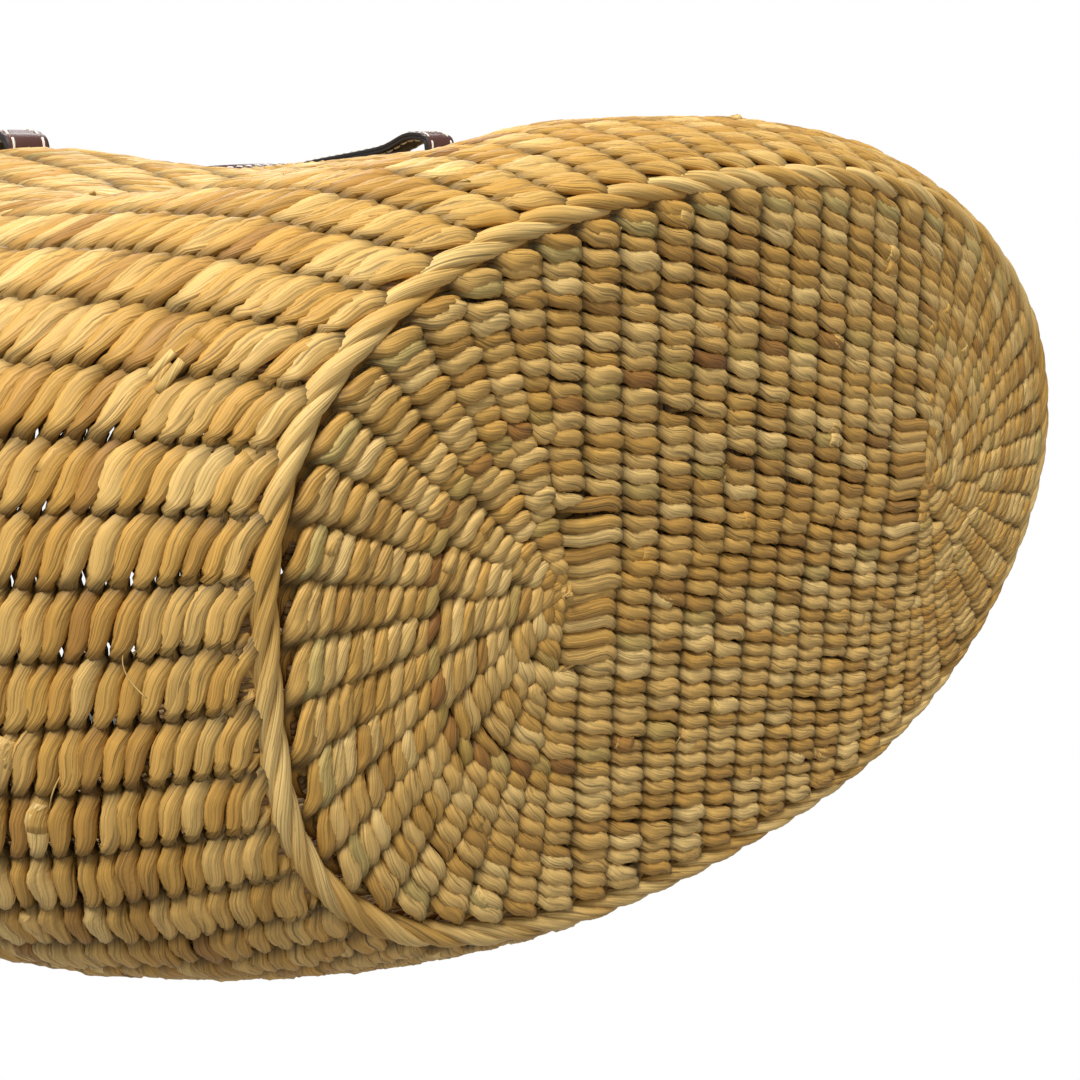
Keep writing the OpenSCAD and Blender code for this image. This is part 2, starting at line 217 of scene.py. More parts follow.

# %% [markdown]
# ## Swept bundles
#
# Grass strands, stems, thread and wrapping are all one idea: a small closed outline carried
# along a path. Blender's curve bevel could do it, but it can't change the outline's width and
# flatness from point to point, and grass is flat where it is pressed against a stake and round
# where it turns. So the tubes are built as grids of points. Each point also gets two numbers
# that the materials read: a UV place in millimetres along and round the strand, and a colour
# attribute with the strand's tone, its greenness and a painted shade, which darkens the strand
# where it dives into the weave.


# %% Tubes from arrays
class Bundle:
    """Collects swept tubes and makes one mesh object of them."""

    def __init__(self):
        self.points, self.quads, self.uvs, self.tones, self.count = [], [], [], [], 0

    def add_grid(self, grid, uv, tone, closed=False, capped=False):
        """grid is (stations, sides, 3); uv is (stations, sides + 1, 2); tone is (stations, 3)."""
        m, k = grid.shape[:2]
        i = np.arange(m if closed else m - 1)[:, None]
        j = np.arange(k)[None, :]
        corner = [(i, j), (i, j + 1), (i + 1, j + 1), (i + 1, j)]
        self.quads.append(np.stack([(a % m) * k + b % k + self.count for a, b in corner], -1).reshape(-1, 4))
        last = np.minimum(m - 1, i + 1) if not closed else i + 1
        uv_wrapped = np.concatenate([uv, uv[:1]]) if closed else uv
        rows = [(i, j), (i, j + 1), (last, j + 1), (last, j)]
        self.uvs.append(np.stack([uv_wrapped[a, b] for a, b in rows], 2).reshape(-1, 2))
        self.points.append(grid.reshape(-1, 3))
        self.tones.append(np.repeat(tone, k, axis=0))
        self.count += m * k
        if capped:
            for ring, turn in ((0, -1), (m - 1, 1)):
                ids = (ring * k + np.arange(k))[::turn] + self.count - m * k
                for q in range(1, k // 2):
                    quad = [ids[q - 1], ids[q], ids[k - 1 - q], ids[k - q]]
                    self.quads.append(np.array([quad]))
                    self.uvs.append(np.zeros((4, 2)))

    def to_object(self, name, material, slot, body="basket"):
        points = np.concatenate(self.points) * MM
        quads = np.concatenate(self.quads)
        mesh = bpy.data.meshes.new(name)
        mesh.vertices.add(len(points))
        mesh.vertices.foreach_set("co", points.astype(np.float32).ravel())
        mesh.loops.add(4 * len(quads))
        mesh.loops.foreach_set("vertex_index", quads.astype(np.int32).ravel())
        mesh.polygons.add(len(quads))
        mesh.polygons.foreach_set("loop_start", np.arange(0, 4 * len(quads), 4, dtype=np.int32))
        mesh.polygons.foreach_set("use_smooth", np.ones(len(quads), bool))
        mesh.uv_layers.new(name="strand_mm").data.foreach_set(
            "uv", np.concatenate(self.uvs).astype(np.float32).ravel())
        tone = np.ones((len(points), 4), np.float32)
        tone[:, :3] = np.concatenate(self.tones)
        mesh.color_attributes.new("tone", "FLOAT_COLOR", "POINT").data.foreach_set("color", tone.ravel())
        mesh.update(calc_edges=True)
        mesh.validate()
        obj = bpy.data.objects.new(name, mesh)
        bpy.context.scene.collection.objects.link(obj)
        mesh.materials.append(material)
        if body:
            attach(obj, body)
        print(f"{name}: {len(quads)} faces")
        return obj


def sweep(bundle, path, wide_way, wide, thick, tone, sides=8, closed=False, capped=False, lay=25.0):
    """Adds an oval tube. wide_way points along the oval's long axis, wide and thick are half
    sizes for each station, and lay is how far the fibres travel for one turn round the strand."""
    ahead = np.roll(path, -1, 0) - np.roll(path, 1, 0)
    if not closed:
        ahead[0], ahead[-1] = path[1] - path[0], path[-1] - path[-2]
    ahead = unit(ahead)
    wide_way = unit(wide_way - ahead * (wide_way * ahead).sum(-1, keepdims=True))
    thick_way = np.cross(ahead, wide_way)
    phi = -np.pi / 2 + 2 * np.pi * np.arange(sides) / sides
    wide, thick = np.broadcast_to(wide, len(path)), np.broadcast_to(thick, len(path))
    grid = (path[:, None] + wide_way[:, None] * (wide[:, None] * np.cos(phi))[..., None]
            + thick_way[:, None] * (thick[:, None] * np.sin(phi))[..., None])
    along = np.concatenate([[0], np.cumsum(np.linalg.norm(np.diff(path, axis=0), axis=1))])
    around = np.arange(sides + 1) / sides
    girth = 2 * np.pi * np.sqrt((wide.mean() ** 2 + thick.mean() ** 2) / 2)
    uv = np.stack([np.repeat(along[:, None], sides + 1, 1),
                   (around[None, :] + along[:, None] / lay) * girth], -1)
    uv += rng.uniform(0, 500, 2)
    bundle.add_grid(grid, uv, np.broadcast_to(tone, (len(path), 3)), closed, capped)


# %% [markdown]
# ## Materials
#
# Dry elephant grass is a stiff, faintly glossy leaf sheath. Split and twisted, it shows fine
# fibres along the strand, paler and browner strands side by side, a few greenish ones, thin
# lines of painted shade in the creases where two blades lie together, and specks. Leather is
# smooth and finely pebbled, with black painted edges. The thread is waxed and off-white. Every
# pattern below is drawn from the strand's own millimetres, so that the fibres follow each twist.


# %% Colours and nodes
def colour(hex_code, alpha=1.0):
    """sRGB hex colour to linear."""
    c = np.array([int(hex_code[i : i + 2], 16) / 255 for i in (1, 3, 5)])
    linear = np.where(c <= 0.04045, c / 12.92, ((c + 0.055) / 1.055) ** 2.4)
    return (*linear.tolist(), alpha)


def add(tree, kind, inputs=None, stops=(), **settings):
    """Adds a node with its settings. inputs holds a value or another node's output for each
    input, and stops holds the places and colours of a colour ramp."""
    node = tree.nodes.new(kind)
    for key, value in settings.items():
        setattr(node, key, value)
    for key, value in (inputs or {}).items():
        if isinstance(value, bpy.types.NodeSocket):
            tree.links.new(value, node.inputs[key])
        else:
            node.inputs[key].default_value = value
    if stops:
        while len(node.color_ramp.elements) < len(stops):
            node.color_ramp.elements.new(0.5)
        for element, (place, shade) in zip(node.color_ramp.elements, stops):
            element.position = place
            element.color = colour(shade) if isinstance(shade, str) else (shade,) * 3 + (1,)
    return node


def surface(name):
    material = bpy.data.materials.new(name)
    material.use_nodes = True
    return material, material.node_tree, material.node_tree.nodes["Principled BSDF"]


def grass(name, pale, gold, brown, green, fibre=0.42):
    """Dry twisted grass. fibre is the distance between fibres in millimetres."""
    material, tree, shader = surface(name)
    uv = add(tree, "ShaderNodeUVMap", uv_map="strand_mm").outputs["UV"]
    tone = add(tree, "ShaderNodeVertexColor", layer_name="tone").outputs["Color"]
    parts = add(tree, "ShaderNodeSeparateColor", {"Color": tone}).outputs

    # Noise drawn out along the strand: the length and width of its marks in mm, and its detail.
    marks = {}
    for mark, length, width, detail in (("fibres", 60, fibre, 2), ("streaks", 70, 1.3, 2),
                                        ("creases", 120, 0.75, 1), ("specks", 2.2, 0.7, 3)):
        place = add(tree, "ShaderNodeMapping", {"Vector": uv, "Scale": (1 / length, 1 / width, 1)})
        marks[mark] = add(tree, "ShaderNodeTexNoise", {
            "Vector": place.outputs[0], "Scale": 1.0, "Detail": detail, "Roughness": 0.6,
        }).outputs["Fac"]
    out = add(tree, "ShaderNodeValToRGB", {"Fac": parts[0]},
              stops=[(0.0, brown), (0.45, gold), (0.85, pale)]).outputs["Color"]
    out = add(tree, "ShaderNodeMix", {6: out, 7: colour(green), 0: parts[1]},
              data_type="RGBA", blend_type="MIX").outputs[2]
    # Each layer darkens the colour where its marks are low. The last is painted shade from the
    # third tone number, which keeps the strand dark where it dives behind a stake.
    for follows, amount, stops in (
        (marks["fibres"], 0.8, [(0.34, 0.5), (0.5, 0.9), (0.62, 1.0)]),
        (marks["streaks"], 0.75, [(0.32, 0.66), (0.55, 1.0)]),
        # Painted shade: thin dark lines in the creases where two blades lie together.
        (marks["creases"], 0.7, [(0.33, 0.35), (0.38, 1.0)]),
        (marks["specks"], 0.6, [(0.25, 0.45), (0.36, 1.0)]),
        (parts[2], 1.0, [(0.0, 0.06), (0.5, 0.45), (0.9, 1.0)]),
    ):
        shade = add(tree, "ShaderNodeValToRGB", {"Fac": follows}, stops=stops).outputs["Color"]
        out = add(tree, "ShaderNodeMix", {6: out, 7: shade, 0: amount},
                  data_type="RGBA", blend_type="MULTIPLY").outputs[2]
    tree.links.new(out, shader.inputs["Base Color"])
    height = add(tree, "ShaderNodeMath", {0: marks["fibres"], 1: marks["creases"]},
                 operation="ADD").outputs[0]
    relief = add(tree, "ShaderNodeBump", {"Height": height, "Strength": 0.6, "Distance": 0.0004})
    tree.links.new(relief.outputs["Normal"], shader.inputs["Normal"])
    rough = add(tree, "ShaderNodeValToRGB", {"Fac": marks["fibres"]}, stops=[(0.3, 0.72), (0.7, 0.5)])
    tree.links.new(rough.outputs["Color"], shader.inputs["Roughness"])
    shader.inputs["IOR"].default_value = 1.45
    shader.inputs["Specular IOR Level"].default_value = 0.4
    return material


# Twisted elephant grass: satin highlights that run across the fibres, uneven gold and tan.
TWISTED_GRASS = grass("twisted_elephant_grass", "#ebc57b", "#cd9c49", "#94622a", "#9c8c48")
# The stems inside are the unsplit cores: duller and browner, seen only in the gaps.
STEM = grass("dry_grass_stem", "#a98253", "#7c5932", "#54391f", "#6f6743", fibre=0.5)
print("materials for the grass are made")


# %% Leather and thread
def leather(name, body, worn, roughness):
    """Vegetable-tanned strap leather: small pebble grain about 0.6 mm across, waxed surface."""
    material, tree, shader = surface(name)
    place = add(tree, "ShaderNodeTexCoord").outputs["Object"]
    pebbles = add(tree, "ShaderNodeTexVoronoi", {"Vector": place, "Scale": 1 / (0.6 * MM)},
                  feature="DISTANCE_TO_EDGE").outputs["Distance"]
    clouds = add(tree, "ShaderNodeTexNoise",
                 {"Vector": place, "Scale": 1 / (14 * MM), "Detail": 5.0}).outputs["Fac"]
    pores = add(tree, "ShaderNodeTexNoise",
                {"Vector": place, "Scale": 1 / (0.5 * MM), "Detail": 2.0}).outputs["Fac"]
    for follows, stops, target in (
        (clouds, [(0.3, body), (0.62, body), (0.8, worn)], "Base Color"),
        (clouds, [(0.3, roughness), (0.75, roughness + 0.14)], "Roughness"),
    ):
        ramp = add(tree, "ShaderNodeValToRGB", {"Fac": follows}, stops=stops)
        tree.links.new(ramp.outputs["Color"], shader.inputs[target])
    edges = add(tree, "ShaderNodeValToRGB", {"Fac": pebbles}, stops=[(0.0, 0.0), (0.16, 1.0)])
    grain = add(tree, "ShaderNodeMath", {0: edges.outputs["Color"], 1: pores},
                operation="ADD").outputs[0]
    relief = add(tree, "ShaderNodeBump", {"Height": grain, "Strength": 0.35, "Distance": 0.00012})
    tree.links.new(relief.outputs["Normal"], shader.inputs["Normal"])
    shader.inputs["IOR"].default_value = 1.5
    shader.inputs["Coat Weight"].default_value = 0.12
    shader.inputs["Coat Roughness"].default_value = 0.35
    return material


BROWN_LEATHER = leather("waxed_brown_strap_leather", "#4a241b", "#6a3a2a", 0.42)
BLACK_LEATHER = leather("black_lining_leather", "#17120f", "#2a2320", 0.5)


def waxed_thread():
    """Waxed polyester thread in two plies, which shows as a slanted line every 0.6 mm."""
    material, tree, shader = surface("waxed_thread")
    uv = add(tree, "ShaderNodeUVMap", uv_map="strand_mm").outputs["UV"]
    turned = add(tree, "ShaderNodeMapping", {"Vector": uv, "Rotation": (0, 0, 0.7)}).outputs[0]
    plies = add(tree, "ShaderNodeTexWave",
                {"Vector": turned, "Scale": 1 / 1.9, "Distortion": 0.4}).outputs["Fac"]
    ramp = add(tree, "ShaderNodeValToRGB", {"Fac": plies}, stops=[(0.0, "#b7aa98"), (0.6, "#ece4d8")])
    tree.links.new(ramp.outputs["Color"], shader.inputs["Base Color"])
    relief = add(tree, "ShaderNodeBump", {"Height": plies, "Strength": 0.4, "Distance": 0.0001})
    tree.links.new(relief.outputs["Normal"], shader.inputs["Normal"])
    shader.inputs["Roughness"].default_value = 0.55
    return material


THREAD = waxed_thread()
print("materials for the leather and the thread are made")

# %% [markdown]
# ## Twining the wall and the base
#
# In twining, two strands travel together and change sides at every stake. Each follows a
# helix: out over one stake, in behind the next. The helix turns so that each visible segment
# slants down to the right, which is the same twist everywhere on the bag. The rows are one
# long spiral, and the stakes that it crosses are numbered, so a strand's path is a formula of
# that number. A strand is not endless: each is a length of grass, and the next is laid in
# beside it, which changes the tone.

# %% One strand
SWING, SLIP, PROUD = 2.45, 2.3, 0.75  # how far a strand goes out and sideways, and its bias outwards
STATIONS = 8  # points of a strand from one stake to the next
MAX_FACES = 90000  # where a woven piece is full and the next one starts


def twine(bundle, sheet, crossings, share_of, first, last, which, part_rows=None):
    """Sweeps one length of grass between two crossing numbers. crossings holds the turn at
    each stake crossed, and share_of gives the height on the sheet for a turn."""
    mid, out = sheet
    n = np.arange(first, last + 1e-6, 1 / STATIONS)
    turn = np.interp(n, np.arange(len(crossings)), crossings)
    share = share_of(turn)
    middle, normal = on_sheet(mid, share, turn), unit(on_sheet(out, share, turn))
    up = unit(on_sheet(mid, np.minimum(share + 0.01, 1), turn) - on_sheet(mid, share - 0.01, turn))
    theta = np.pi * (n + which) - 0.25 * np.sin(2 * np.pi * (n - 0.05))
    segment = np.round(n + which).astype(int) - int(first) + 2
    jitter = rng.normal(0, 1, (segment.max() + 3, 5))
    numbers = np.arange(segment.max() + 3) + int(first) - 2 + which

    def soft(k):
        """A random change that drifts from one segment to the next."""
        return np.interp(theta / np.pi, numbers, jitter[:, k])

    if part_rows is not None:
        middle = middle + up * part_rows(turn)[:, None]
    theta = theta + 0.16 * soft(4)
    middle = middle + up * (0.4 * np.sin(2 * np.pi * turn * 7 + 1.3 * np.sin(turn * 0.7)))[:, None]
    depth = SWING * np.cos(theta) + PROUD + 0.2 * soft(0)
    slip = -SLIP * np.sin(theta) + 0.22 * soft(1)
    path = middle + normal * depth[:, None] + up * slip[:, None]
    # lifted is 1 over or behind a stake and 0 where the two strands cross. The taper makes each
    # segment fat at one end and thin at the other.
    lifted = np.abs(np.cos(theta))
    phase = np.arctan2(np.sin(theta), np.cos(theta))
    taper = 1 + 0.36 * np.sin(0.75 * phase) * np.sqrt((1 + np.cos(phase)) / 2)
    wide = (2.0 + 0.42 * lifted**0.8) * taper * (1 + 0.11 * soft(2))
    # Where the strands cross they are thicker than SLIP, so that no hole stays between them.
    thick = (2.5 - 1.05 * lifted) * (1 + 0.07 * soft(3))
    wide_way = -normal * np.sin(theta)[:, None] - up * np.cos(theta)[:, None]
    tone = np.empty((len(n), 3))
    strand = np.clip(rng.normal(0.55, 0.14), 0.1, 0.95)
    tone[:, 0] = np.clip(strand + 0.07 * soft(2), 0, 1)
    tone[:, 1] = rng.uniform(0.3, 0.6) if rng.random() < 0.04 else rng.uniform(0, 0.08)
    # The third tone number is painted shade: dark where the two strands cross and dive into the weave, full
    # where the strand lies over or behind a stake.
    tone[:, 2] = np.clip(0.1 + 0.9 * np.abs(np.cos(theta - 0.18)) ** 0.85, 0, 1)
    sweep(bundle, path, wide_way, wide, thick, tone, capped=True, lay=rng.uniform(60, 110))


def twine_sheet(name, sheet, crossings, share_of, material, part_rows=None):
    """Fills a sheet with lengths of grass, in as many pieces as their faces need."""
    bundle, number, count = Bundle(), 1, 0
    ends = [0.5, 1.5]
    while min(ends) < len(crossings) - 2:
        which = int(np.argmin(ends))
        length = 2 * int(rng.integers(13, 27))
        last = min(ends[which] + length, len(crossings) - 1.5 + which)
        twine(bundle, sheet, crossings, share_of, ends[which] - 0.45, last, which, part_rows)
        ends[which] = last
        count += 1
        if sum(len(q) for q in bundle.quads) > MAX_FACES:
            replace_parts(bundle.to_object(f"{name}_{number}", material, "grass"), name)
            bundle, number = Bundle(), number + 1
    if bundle.quads:
        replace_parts(bundle.to_object(f"{name}_{number}", material, "grass"), name)
    print(f"{name}: {count} lengths of grass over {len(crossings)} crossings")


# %% Where the straps part the rows
LEG, SLOT_Z = 90.0, 240.0  # a strap's distance from the middle of the bag, and its height


def slot_y(side, z=SLOT_Z):
    """Mean skin y at the two slots of one side, -1 for the front and 1 for the back."""
    t = np.linspace(0, np.pi, 4001) * side
    p = skin(t, z)
    return np.interp([-LEG, LEG], p[::-1, 0], p[::-1, 1]).mean()


def slot_turn(side, end):
    t = np.linspace(0, np.pi, 4001) * side
    x = skin(t, SLOT_Z)[:, 0]
    return np.interp(np.interp(end * LEG, x[::-1], t[::-1]) % (2 * np.pi), fine, run) / run[-1]


WALL_ROWS = round(WALL_RUN / ROW)
SLOTS = [(side, end, slot_turn(side, end)) for side in (-1, 1) for end in (-1, 1)]


def part_rows(turn):
    """How far the rows move up or down beside a slot."""
    shift = np.zeros_like(turn)
    for _, _, place in SLOTS:
        off = (turn - place + 0.5) % 1 - 0.5
        row = np.round(turn - off - place) + place
        height = on_sheet(WALL_MID, (row + 0.5) / WALL_ROWS, row)[:, 2] - SLOT_Z
        beside = np.clip((12.5 - np.abs(off) * run[-1] * 1.08) / 5.0, 0, 1)
        shift += np.where(height > 0, 2.3, -2.3) * np.exp(-((height / 9) ** 2)) * beside
    return shift


# The first and last laps run level along the foot rope and the border, so no wedge stays open.
START_EARLY = 45  # whole crossings, so that every crossing lies over a stake
wall_crossings = np.arange(-START_EARLY, STAKES * (WALL_ROWS - 0.3)) / STAKES
twine_sheet("wall_weave", (WALL_MID, WALL_OUT), wall_crossings,
            lambda turn: np.clip(turn + 0.5, 0.3, WALL_ROWS - 0.3) / WALL_ROWS, TWISTED_GRASS, part_rows)

# %% The base
BASE_ROWS = 22
HALF_FAN = FAN // 2


def is_crossed(i, share):
    """In the fans at the two ends, stakes are added on the way out: a quarter, half, then all."""
    from_end = min(i % (STAKES // 2), STAKES // 2 - i % (STAKES // 2))
    return from_end > HALF_FAN or i % 4 == 0 or (i % 2 == 0 and share > 0.26) or share > 0.5


base_crossings = np.array([row + i / STAKES for row in range(-1, BASE_ROWS + 1) for i in range(STAKES)
                           if is_crossed(i, (row + i / STAKES + 0.4) / BASE_ROWS)])
base_crossings = base_crossings[(base_crossings > -0.6) & (base_crossings < BASE_ROWS + 0.3)]
twine_sheet("base_weave", (BASE_MID, BASE_OUT), base_crossings,
            lambda turn: np.clip(turn + 0.4, 0.16, BASE_ROWS - 0.4) / BASE_ROWS, TWISTED_GRASS)

# %% [markdown]
# ## Stakes
#
# Each stake is a bundle of three thin grass stems, the uncut cores of the same plant. They
# only show as pale lines in the small dark gaps between the segments, but without them the gaps
# would look like holes. In the fans, extra stakes start further out, where the gaps would
# otherwise grow too wide.

# %% Stems
def stems(bundle, sheet, turn, first, last):
    """One stake: three thin stems side by side along a rib of the sheet."""
    mid, out = sheet
    share = np.linspace(first, last, max(6, int(70 * (last - first))))
    whole = np.full_like(share, turn)
    middle, normal = on_sheet(mid, share, whole), unit(on_sheet(out, share, whole))
    ahead = unit(np.gradient(middle, axis=0))
    across = unit(np.cross(ahead, normal))
    for k in (-1, 0, 1):
        wander = 0.25 * np.sin(share * rng.uniform(8, 20) + rng.uniform(0, 6))
        path = middle + across * (1.45 * k + wander)[:, None] + normal * rng.uniform(-0.25, 0.25)
        # The third tone number, 0.85, darkens the stems a little with painted shade.
        tone = [rng.uniform(0.25, 0.9), rng.uniform(0, 0.3), 0.85]
        sweep(bundle, path, across, 0.85, 0.95, tone, sides=7, capped=True, lay=300)


wall_stems, base_stems = Bundle(), Bundle()
for i in range(STAKES):
    stems(wall_stems, (WALL_MID, WALL_OUT), i / STAKES, 0.0, 1.0)
    from_end = min(i % (STAKES // 2), STAKES // 2 - i % (STAKES // 2))
    start = 0.02 if from_end > HALF_FAN else (0.08 if i % 4 == 0 else 0.24 if i % 2 == 0 else 0.47)
    stems(base_stems, (BASE_MID, BASE_OUT), i / STAKES, start, 1.0)
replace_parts(wall_stems.to_object("wall_stems", STEM, "stake"), "wall_stakes")
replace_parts(base_stems.to_object("base_stems", STEM, "stake"), "base_stakes")

# %% [markdown]
# ## The foot rope and the mouth border
#
# The row on the edge of the base is a three-strand wale: each strand passes in front of two
# stakes and behind one, so its segments are long and bold like a rope's. The mouth is
# finished by laying the stake ends down into a roll and binding it with one flat strand.

# %% Foot rope
def twist_round(centre, out, up, strands, radius, wide, thick, laps, which):
    """One strand of a rope. laps is how often it goes round the rope on its way."""
    m = len(centre)
    theta = 2 * np.pi * (np.arange(m) / m * laps + which / strands)
    path = centre + radius * out * np.cos(theta)[:, None] - 0.8 * radius * up * np.sin(theta)[:, None]
    wide_way = -out * np.sin(theta)[:, None] - up * np.cos(theta)[:, None]
    knots = np.arange(0, m + 40, 40)
    swell = 1 + 0.08 * np.interp(np.arange(m), knots, rng.normal(0, 1, len(knots)))
    return path, wide_way, wide * swell, thick * swell


def edge_line(z, inset, steps):
    """Points at a height and an inset from the skin, with the directions out and up."""
    turn = np.arange(steps) / steps
    t = angle_of(turn)
    out = outward(t, z, 0)
    return skin(t, z) - inset * out, out, np.broadcast_to([0.0, 0.0, 1.0], out.shape)


rope = Bundle()
centre, out, up = edge_line(ROPE_D / 2, ROPE_D / 2, 1152)
for strand in range(3):
    laps = round(STAKES / 3)
    path, wide_way, wide, thick = twist_round(centre, out, up, 3, 1.7, 1.95, 1.65, laps, strand)
    tone = np.stack([0.68 + 0.2 * np.sin(np.linspace(0, 2 * np.pi * (7 + 2 * strand), len(path))),
                     np.full(len(path), 0.05), np.full(len(path), 0.95)], -1)
    sweep(rope, path, wide_way, wide, thick, tone, sides=10, closed=True, lay=70)
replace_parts(rope.to_object("foot_rope_wale", TWISTED_GRASS, "grass"), "foot_rope")

# %% Mouth border
border = Bundle()
centre, out, up = edge_line(BAG_HEIGHT - BORDER_D / 2, WEAVE / 2, 360)
# The core's third tone number, 0.7, is painted shade: it darkens the core where it shows between the turns
# of binding.
sweep(border, centre, up, BORDER_D / 2 - 1.6, BORDER_D / 2 - 1.6, [0.35, 0.1, 0.7], sides=16, closed=True)
TURNS, PER_TURN, PER_LENGTH = 216, 14, 24  # turns of binding, points of a turn, turns of a length
centre, out, up = edge_line(BAG_HEIGHT - BORDER_D / 2, WEAVE / 2, TURNS * PER_TURN)
theta = 2 * np.pi * np.arange(len(centre)) / PER_TURN
radius = BORDER_D / 2 - 1.25
spoke = out * np.cos(theta)[:, None] - up * np.sin(theta)[:, None]
path = centre + radius * spoke
bound = unit(np.cross(spoke, np.roll(path, -1, 0) - np.roll(path, 1, 0)))
for first in range(0, TURNS, PER_LENGTH):
    part = slice(first * PER_TURN, (first + PER_LENGTH) * PER_TURN)
    width = 2.5 + 0.25 * rng.normal(0, 1, PER_LENGTH).repeat(PER_TURN)[: len(path[part])]
    width = np.convolve(width, np.ones(9) / 9, "same")
    width[:5], width[-5:] = 2.4, 2.4
    sweep(border, path[part], bound[part], width, 1.15,
          [np.clip(rng.normal(0.55, 0.15), 0, 1), rng.uniform(0, 0.15), 0.95], capped=True, lay=60)
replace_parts(border.to_object("mouth_binding", TWISTED_GRASS, "grass"), "mouth_border")

# %% [markdown]
# ## Splices and loose fibres
#
# Where one length of grass ends, its stub sticks out of the weave as a few short cut stems,
# and dry grass always sheds thin fibres. Hundreds would look messy, so there are a few dozen
# stubs, each of two to four cut stems, and some fine fibres that curl off the surface.

# %% Stubs and fibres
def place_on(sheet, share, turn):
    mid, out = sheet
    share, turn = np.array([share]), np.array([turn])
    point, normal = on_sheet(mid, share, turn)[0], unit(on_sheet(out, share, turn))[0]
    right = unit(on_sheet(mid, share, turn + 0.004) - on_sheet(mid, share, turn - 0.004))[0]
    return point, normal, right, np.cross(normal, right)


stubs, fibres = Bundle(), Bundle()
WALL, BASE = (WALL_MID, WALL_OUT), (BASE_MID, BASE_OUT)
for k in range(60):
    sheet = WALL if k % 5 else BASE
    point, normal, right, up = place_on(sheet, rng.uniform(0.06, 0.94), rng.random())
    lift = rng.uniform(0.1, 0.45) * (sheet is WALL)  # nothing sticks out under the base
    slant = unit(right * rng.choice([-1, 1]) - 0.3 * up + lift * normal)
    side = unit(np.cross(normal, slant))
    for stem in range(rng.integers(2, 5)):
        begin = point + normal * (rng.uniform(2.4, 3.4) - 0.2 * (sheet is BASE)) + side * (stem - 1.2) * 1.7
        steps = np.linspace(0, 1, 5)[:, None]
        path = begin + slant * steps * rng.uniform(4.5, 8.5) + side * rng.normal(0, 0.5) * steps
        sweep(stubs, path, side, rng.uniform(0.85, 1.2), rng.uniform(0.7, 0.95),
              [rng.uniform(0.4, 1), rng.uniform(0, 0.3), 0.9], sides=10, capped=True)
for k in range(70):
    sheet = WALL if k % 4 else BASE
    point, normal, right, up = place_on(sheet, rng.uniform(0.04, 0.96), rng.random())
    steps = np.linspace(0, 1, 12)[:, None]
    heading = unit(right * rng.normal() + up * rng.normal() + normal * 0.12 * (sheet is WALL))
    curl = unit(np.cross(heading, normal)) * rng.normal(0, 3.5)
    height = 3.6 + 0.9 * (sheet is WALL) * np.sin(np.pi * steps)
    path = point + normal * height + heading * steps * rng.uniform(4, 10)
    path = path + curl * steps**2 - normal * 1.2 * steps**2
    sweep(fibres, path, right, 0.16, 0.11, [rng.uniform(0.5, 1), 0.1, 1.0], sides=4, capped=True)
stubs.to_object("splice_stubs", TWISTED_GRASS, "grass")
fibres.to_object("loose_fibres", TWISTED_GRASS, "grass")

# %% [markdown]
# ## Straps
#
# Each handle is one long strip of brown leather with a black lining glued and sewn to its
# back. It starts inside the bag, passes out through a slot between two rows, bends up, arches
# off the wall and runs up past the border. On its way the flat strip turns a quarter, so that
# the grip lies flat in the hand. The strip is swept along the same path as its collision
# shape, with a crowned face, rounded edges and a shallow groove under each line of stitches.

# %% The path of a strap
STRAP_W, STRAP_T, LEATHER = 14.5, 3.3, 1.8
RISE, BOW, BEND, LIFT, ARCH = 190.0, 2.5, 6.0, 4.8, 12.0
TAIL, FOLD = 32.0, 0.8  # length folded down inside the wall, and the radius of that fold


def bow_point(v):
    """Point of the handle's arch at share v of the way, in the handle's own frame."""
    half = np.minimum(v, 1 - v)
    a = np.pi / 2 * (2 * half) ** (BOW / 2)
    a = np.where(v <= 0.5, a, np.pi - a)
    u = RISE * np.sin(a) ** (2 / BOW)
    lift = LIFT + (BEND - LIFT) * np.e * np.exp(-(((u - ARCH) / ARCH) ** 2))
    return np.stack([-LEG * signed_power(np.cos(a), 2 / BOW), lift, u], -1)


